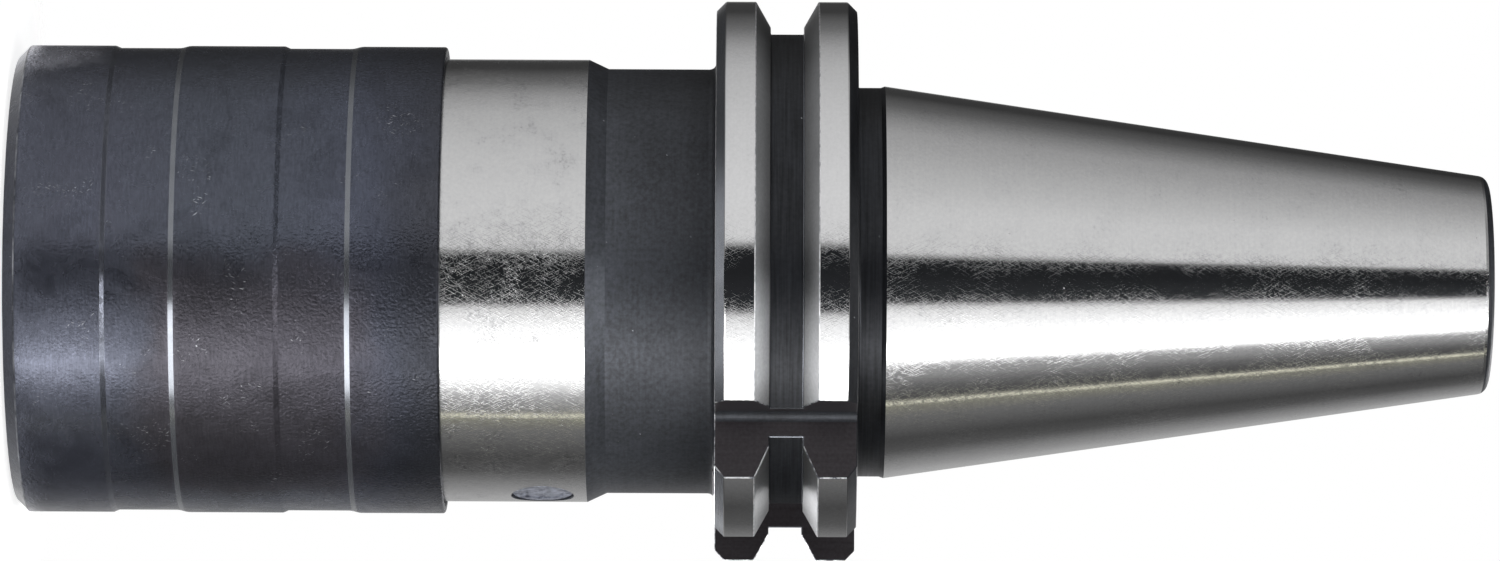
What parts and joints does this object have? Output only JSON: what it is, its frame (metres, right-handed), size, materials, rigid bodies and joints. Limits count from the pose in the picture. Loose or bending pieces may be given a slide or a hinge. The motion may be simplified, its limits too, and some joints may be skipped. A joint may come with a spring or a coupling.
{
  "type": "quick change tapping chuck",
  "caption": "Steep-taper tapping chuck with a V-flange, a floating spindle and a grooved push-back sleeve that locks quick-change tap adapters.",
  "frame": {"origin": "centre of the nose face, on the surface that the chuck stands on", "axes": "+Z along the axis towards the taper, +X through the drive slot with its floor 22.8 mm from the axis; the orientation notch lies at 45 degrees between +X and -Y"},
  "size_m": [0.0614, 0.0636, 0.1667],
  "materials": {
    "ground_steel": "ground",
    "blackened_steel": "black oxide, satin",
    "spring_steel": "drawn wire and stamped rings",
    "nitrile_rubber": "matte",
    "bearing_bronze": "turned",
    "ball_steel": "polished"
  },
  "bodies": {
    "shank": {"taper_shank": "ground_steel", "flange_rear_rim": "ground_steel", "flange_channel": "blackened_steel", "flange_front_rim": "ground_steel", "housing": "ground_steel", "mouth_retaining_ring": "spring_steel", "wiper_ring": "nitrile_rubber", "guide_bush": "bearing_bronze", "filler_plug_1": "blackened_steel", "filler_plug_2": "blackened_steel", "float_bolt": "blackened_steel", "bolt_lock_screw": "blackened_steel", "extension_spring_seat": "ground_steel", "stop_tube": "ground_steel", "compression_spring_rear_seat": "ground_steel", "extension_spring": "spring_steel", "compression_spring": "spring_steel"},
    "spindle": {"spindle": "ground_steel", "compression_spring_front_seat": "ground_steel", "sleeve_spring_washer": "ground_steel", "sleeve_spring_clip": "spring_steel", "nose_snap_ring": "spring_steel", "sleeve_spring": "spring_steel"},
    "release_sleeve": {"release_sleeve": "blackened_steel"},
    "locking_ball_1": {"locking_ball_1": "ball_steel"},
    "locking_ball_2": {"locking_ball_2": "ball_steel"},
    "locking_ball_3": {"locking_ball_3": "ball_steel"},
    "drive_balls": {"drive_balls_row_1": "ball_steel", "drive_balls_row_2": "ball_steel"}
  },
  "joints": [
    {"name": "spindle_float", "type": "slide", "parent": "shank", "child": "spindle", "axis": [0, 0, 1], "range_m": [-0.0125, 0.0125], "stiffness_N_per_m": 16000, "deforming": ["extension_spring", "compression_spring"]},
    {"name": "sleeve_release", "type": "slide", "parent": "spindle", "child": "release_sleeve", "axis": [0, 0, 1], "range_m": [0, 0.004], "stiffness_N_per_m": 5000, "springref_m": -0.004, "deforming": ["sleeve_spring"]},
    {"name": "ball_1_lift", "type": "slide", "parent": "spindle", "child": "locking_ball_1", "axis": [0.866, 0.5, 0], "range_m": [0, 0.0011]},
    {"name": "ball_2_lift", "type": "slide", "parent": "spindle", "child": "locking_ball_2", "axis": [-0.866, 0.5, 0], "range_m": [0, 0.0011]},
    {"name": "ball_3_lift", "type": "slide", "parent": "spindle", "child": "locking_ball_3", "axis": [0, -1, 0], "range_m": [0, 0.0011]},
    {"name": "drive_ball_roll", "type": "slide", "parent": "shank", "child": "drive_balls", "axis": [0, 0, 1], "range_m": [-0.0063, 0.0063]}
  ],
  "couplings": [
    {"joint": "ball_1_lift", "follows": "sleeve_release", "ratio": 0.26795},
    {"joint": "ball_2_lift", "follows": "sleeve_release", "ratio": 0.26795},
    {"joint": "ball_3_lift", "follows": "sleeve_release", "ratio": 0.26795},
    {"joint": "drive_ball_roll", "follows": "spindle_float", "ratio": 0.5}
  ]
}
